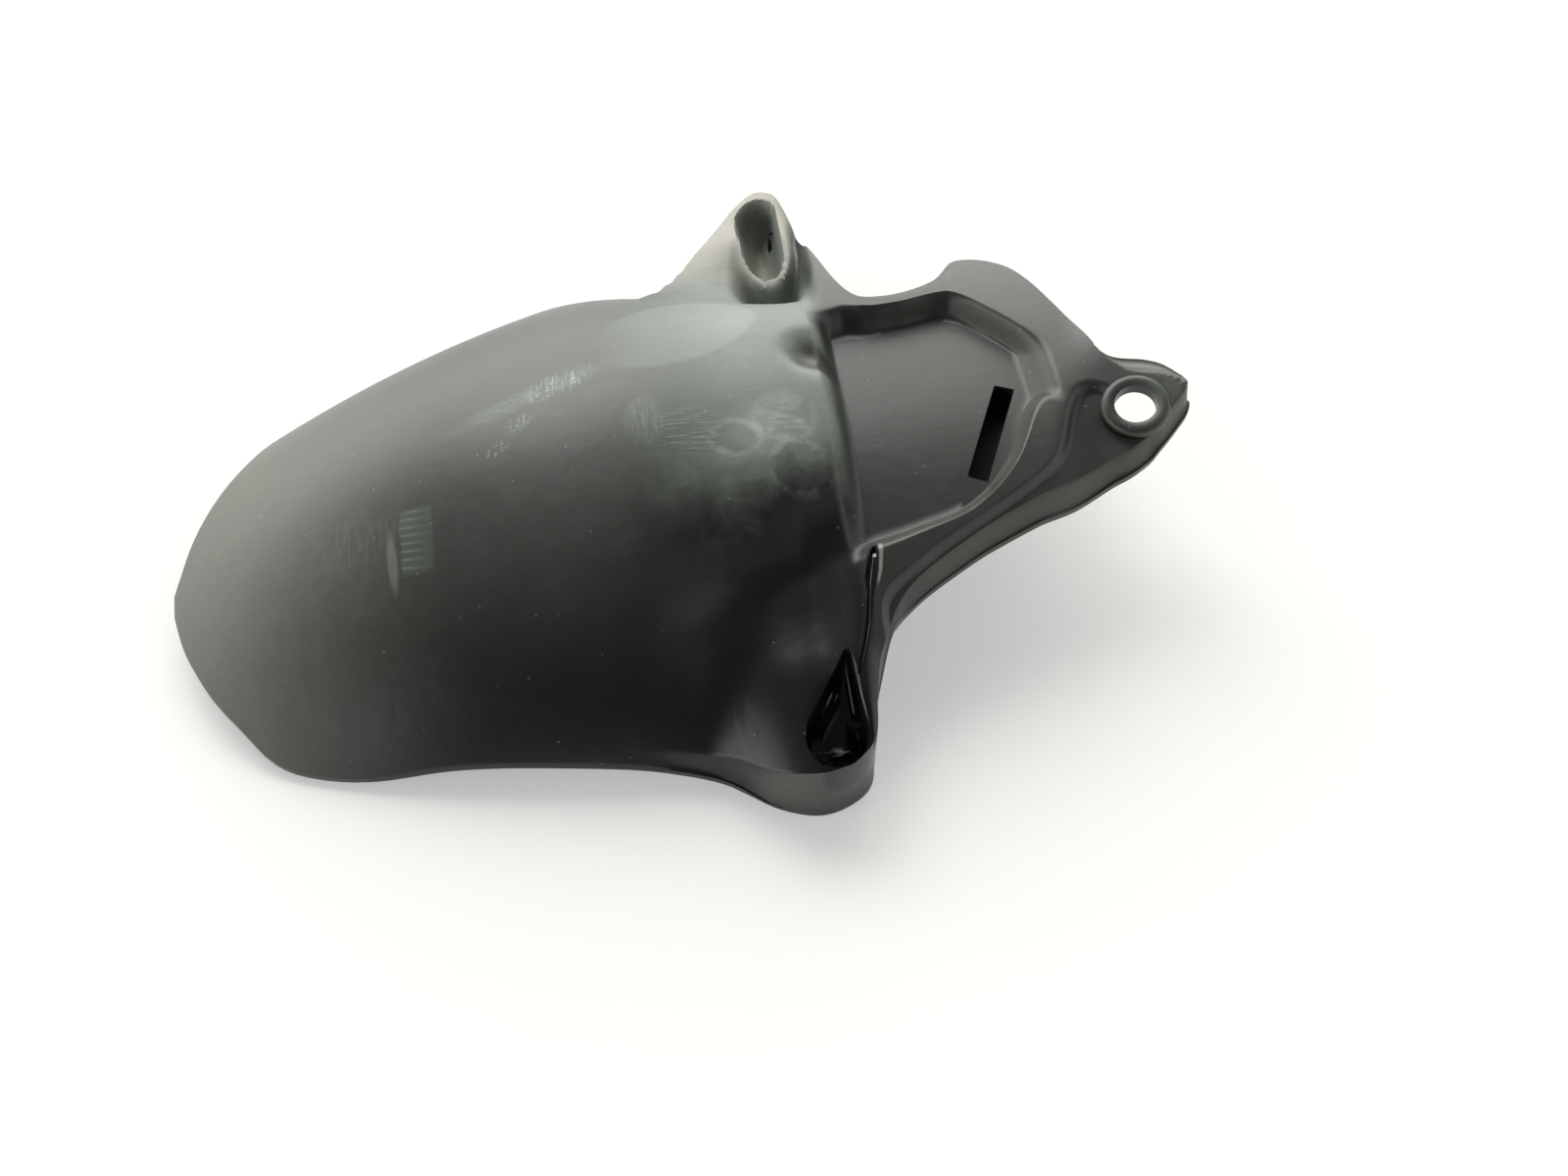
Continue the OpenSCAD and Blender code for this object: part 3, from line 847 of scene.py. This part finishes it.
# The sum holds dust and wear, and painted light on the tail's end, the near side and the near ear's outer
# walls.
film_and_painted_light = crown_film + near_side_painted_light + tail_end * 0.06 + on_panel * 0.030 + arm_end * 0.03
film_and_painted_light = film_and_painted_light + near_wall_painted_light + panel_wall_film + far_ear * 0.11
# Painted shade: the film is mostly cut away in a round spot over the dimple by the crease, so that the dimple
# reads darker.
film_and_painted_light = film_and_painted_light * (1 - spot(2, 8, 9, 8, 0, 0.7) * 0.8) * upward.ease(-0.2, 0.1)
film_and_painted_light = film_and_painted_light * (1 + mottle * 0.5 + (brushed - 0.5) * 0.4)
print("film ready")

# %% [markdown]
# Over the film lie the marks of use, all of the same chalky grey: a broad rubbed patch, tufts and
# streaks behind it, three rings with scuffs between them, a hatched rub with bars across it, a short
# streak and scratches beside that, the torn edge of the crack, and scattered specks.

# %% Plastic: rubs and streaks
patch = spot(-45, 25, 30, 20, 24, 0.1, 0.22) * px.ease(-78, -52)
chalk = patch * 0.045
chalk = chalk + spot(-96, -2, 24, 3.4, 19, 1.2) * (0.02 + brushed.ease(0.35, 0.8) * 0.08)
tufts = spot(-85, 2, 12, 5, 25, 0.8).max(spot(-99, -13, 5, 3, 30, 0.7)).max(spot(-106, -22, 4, 2.4, 35, 0.7))
chalk = chalk + tufts * (grain * 0.6 + scored * 0.7).ease(0.62, 0.86) * 0.30
chalk = chalk + spot(-58, -20, 6, 9, 0, 0.6) * (scored.ease(0.42, 0.72) * 0.10 + 0.02)
chalk = chalk + spot(-43, -25, 10, 8, -15, 0.7) * brushed.ease(0.48, 0.72) * 0.16
print("rubs ready")

# %% Plastic: rings, hatching and specks
rings = ring(-29, -29, 8, 6.5, 0, 0.3, 0.7) + ring(-12.5, -22, 9, 8, 10, 0.5, 0.8)
rings = rings + ring(-9, -40, 10, 9, 0, 0.22, 0.6) * 0.7
chalk = chalk + rings * (mottle * 2.5 + 0.5).ease(0.1, 0.9) * 0.075
chalk = chalk - spot(-29, -29, 7, 5.5, 0, 0.4, 0.5) * 0.02
chalk = chalk + spot(-12, -24, 7, 6, 0, 0.8) * brushed.ease(0.4, 0.75) * 0.14
bars = (py * 2.4 + px * 0.35).sin().ease(0.1, 0.9)
hatch = (px + 133.5 + mottle * 3).abs().ease(6, 4.6) * (py + 47 + mottle * 3).abs().ease(11.5, 9.5)
chalk = chalk + hatch * (0.03 + bars * (px + mottle * 9).ease(-128, -138) * grain.ease(0.25, 0.6) * 0.09)
chalk = chalk + spot(-142, -52, 1.6, 9, 4, 0.8) * 0.09
chalk = chalk + spot(-154, -42, 15, 8, 6, 0.9) * scored.ease(0.42, 0.75) * 0.05
chalk = chalk + spot(12.3, -70.5, 1.1, 7, -12, 0.5, 0.5) * 0.22
specks = paint.node("TexVoronoi", None, 0, Vector=at, Scale=0.16)
chalk = chalk + specks.ease(0.075, 0.03) * 0.16 * grain.ease(0.3, 0.6)
print("marks placed")

# %% [markdown]
# Where nothing rubs it the plastic keeps its first state: the near pocket is glossy black. The slot,
# the crack and the far bolt hole are painted near-black and rough, as painted shade for their depth.
# Film and chalk are kept out of them all, and what is left is added to the black as light grey,
# faintly green on the shell and warmer where it is worn.

# %% Plastic: colour
# The second colour is painted shade: the near-black laid into the slot, the crack and the far bolt hole.
BLACK, SHADE_BLACK = (0.0062, 0.0068, 0.0058), (0.001, 0.001, 0.001, 1)
WEATHERED, HANDLED = (0.91, 1.0, 0.90, 1), (1.0, 0.94, 0.82, 1)
pocket = paint.length(paint.local(at, (-6, -116, 22), 0.0, (13, 22, 15))).ease(1.1, 0.9)
slot_x, slot_y, _ = paint.split(paint.local(at, (SLOT_AT[0], SLOT_AT[1], 0), math.degrees(SLOT_TURN)))
in_slot = slot_x.ease(-0.3, 0.1) * slot_x.ease(40.3, 39.9) * slot_y.abs().ease(3.8, 3.4)
in_crack = spot(9.7, -72.5, 2.1, 9.5, -12.6, 0.2, 0.3).max(spot(5.3, -90.5, 1.4, 13, -15.4, 0.2, 0.3))
# Painted shade: where the slot, the far bolt hole and the crack lie, the colour turns near-black.
hollow_shade = in_slot.max(spot(-0.4, EAR_Y, 0.9, 4.4, 0, 0.2, 0)).max(in_crack)
clean = (1 - pocket) * (1 - hollow_shade)
warm = (tail_end + far_ear + worn_wall).min(1)
tone = paint.mix(warm, WEATHERED, HANDLED)
dust_and_painted_light = paint.node("VectorMath", {"operation": "SCALE"}, 0, _0=tone, Scale=(film_and_painted_light + chalk) * clean)
base = paint.node("VectorMath", {"operation": "ADD"}, 0, _0=dust_and_painted_light, _1=BLACK)
link(paint.tree, paint.mix(hollow_shade, base, SHADE_BLACK), bsdf.inputs["Base Color"])
print("colour ready")

# %% [markdown]
# Film scatters light, so roughness rises with it, and the clean pocket stays smooth. The relief is
# far too fine to model: a bump of the same noises, measured in millimetres, bends the reflections.

# %% Plastic: gloss and bump
PLAIN_GLOSS, POCKET_GLOSS, HOLLOW_GLOSS = 0.34, 0.13, 0.8
MILLIMETRE = 0.001
gloss = PLAIN_GLOSS + (film_and_painted_light * 1.2).min(0.13) + cloud * 0.06 + mottle * 0.08
gloss = gloss + (grain - 0.5) * 0.05 - patch * 0.05
link(paint.tree, gloss * clean + pocket * POCKET_GLOSS + hollow_shade * HOLLOW_GLOSS, bsdf.inputs["Roughness"])
relief = mottle * 0.10 + cloud * 0.35 + grain * 0.012 + brushed * 0.008
bump = paint.node("Bump", None, 0, Strength=1.0, Distance=MILLIMETRE, Height=relief)
link(paint.tree, bump, bsdf.inputs["Normal"])
mesh.materials.clear()
mesh.materials.append(plastic)
print("plastic nodes", len(plastic.node_tree.nodes))

# %% [markdown]
# ## Floor
# The fender lies on a pale ground that is almost white. More lamps would whiten the ground and
# bleach the plastic with it. So the ground is a light grey that keeps the shadow, and a little glow,
# which only the camera, reflections and see-through rays find, lifts it to white.

# %% Floor
FLOOR_Z, FLOOR_GLOW = -0.0202, 0.34
bpy.ops.mesh.primitive_plane_add(size=12, location=(0, 0, FLOOR_Z))
table_top = bpy.context.object
table_top.name = "table_top"
pale = bpy.data.materials.new("table_top")
pale.use_nodes = True
floor_bsdf = pale.node_tree.nodes["Principled BSDF"]
floor_bsdf.inputs["Base Color"].default_value = (0.72, 0.72, 0.705, 1)
floor_bsdf.inputs["Roughness"].default_value = 0.9
floor_bsdf.inputs["Specular IOR Level"].default_value = 0.1
floor_bsdf.inputs["Emission Strength"].default_value = FLOOR_GLOW
ray = pale.node_tree.nodes.new("ShaderNodeLightPath")
kinds = ("Is Camera Ray", "Is Glossy Ray", "Is Transmission Ray")
seen, mirrored, see_through = (Socket(pale.node_tree, ray.outputs[kind]) for kind in kinds)
link(pale.node_tree, seen.max(mirrored).max(see_through), floor_bsdf.inputs["Emission Color"])
table_top.data.materials.append(pale)
print("floor", tuple(table_top.location))

# %% [markdown]
# ## Light
# Black plastic shows its form by what it reflects. A single lamp would leave one hot spot, so most of
# the light is a broad bright band of the world, behind the fender and low on its left, with a weaker
# one on the right. One soft lamp behind the fender gives the shadow on the ground its direction.

# %% Light
lamp_data = bpy.data.lights.new("window", "AREA")
lamp_data.shape, lamp_data.size, lamp_data.energy = "DISK", 1.2, 12
lamp = bpy.data.objects.new("window", lamp_data)
lamp.location = (-0.5, 1.5, 1.5)
lamp.rotation_euler = (-lamp.location).to_track_quat("-Z", "Y").to_euler()
bpy.context.collection.objects.link(lamp)

ROOM_LIGHT, BAND_LIGHT, RIGHT_LIGHT = 0.10, 3.4, 1.1
world = bpy.data.worlds.new("room")
world.use_nodes = True
room = Shader(world.node_tree)
wx, wy, wz = room.split(room.node("TexCoord", None, 0))
leftward = 0 - wx
over_horizon = wz.ease(-0.05, 0.03)
toward = (wy * 0.73 - wx * 0.68) / (wx * wx + wy * wy + 0.0001) ** 0.5
left_top = leftward.ease(0.25, 0.9) * 0.5
low_left = leftward.ease(0.45, 0.85) * wz.ease(0.55, 0.3)
band = (toward.ease(0.02, 0.45) * (wz + left_top).ease(0.94, 0.72)).max(low_left * 0.8) * over_horizon
right = wx.ease(0.15, 0.7) * over_horizon * wz.ease(0.8, 0.45)
background = world.node_tree.nodes["Background"]
background.inputs["Color"].default_value = (0.98, 1.0, 0.95, 1)
link(world.node_tree, ROOM_LIGHT + band * BAND_LIGHT + right * RIGHT_LIGHT, background.inputs["Strength"])
bpy.context.scene.world = world

# %% [markdown]
# ## Camera
# The photograph looks down steeply from the near side. Once a lens and a downward angle are chosen,
# the two ear holes settle where the camera stands and which way it turns. Those two were chosen by
# trial. A longer lens would flatten the fender; this one keeps what is near larger than what is far.

# %% Camera
YAW, DOWN = math.radians(7.317554717), math.radians(56)
EYE_AT = np.array([-46.773, -291.369, 366.538])
gaze = Vector((math.sin(YAW) * math.cos(DOWN), math.cos(YAW) * math.cos(DOWN), -math.sin(DOWN)))
camera = bpy.data.cameras.new("camera")
camera.lens, camera.sensor_width = 28.125, 36
camera.clip_start = 0.01
eye = bpy.data.objects.new("camera", camera)
eye.location = [c / 1000 for c in EYE_AT - ORIGIN]
eye.rotation_euler = gaze.to_track_quat("-Z", "Y").to_euler()
bpy.context.collection.objects.link(eye)
bpy.context.scene.camera = eye
bpy.context.scene.view_settings.view_transform = "Standard"
print("camera", [round(c, 4) for c in eye.location])
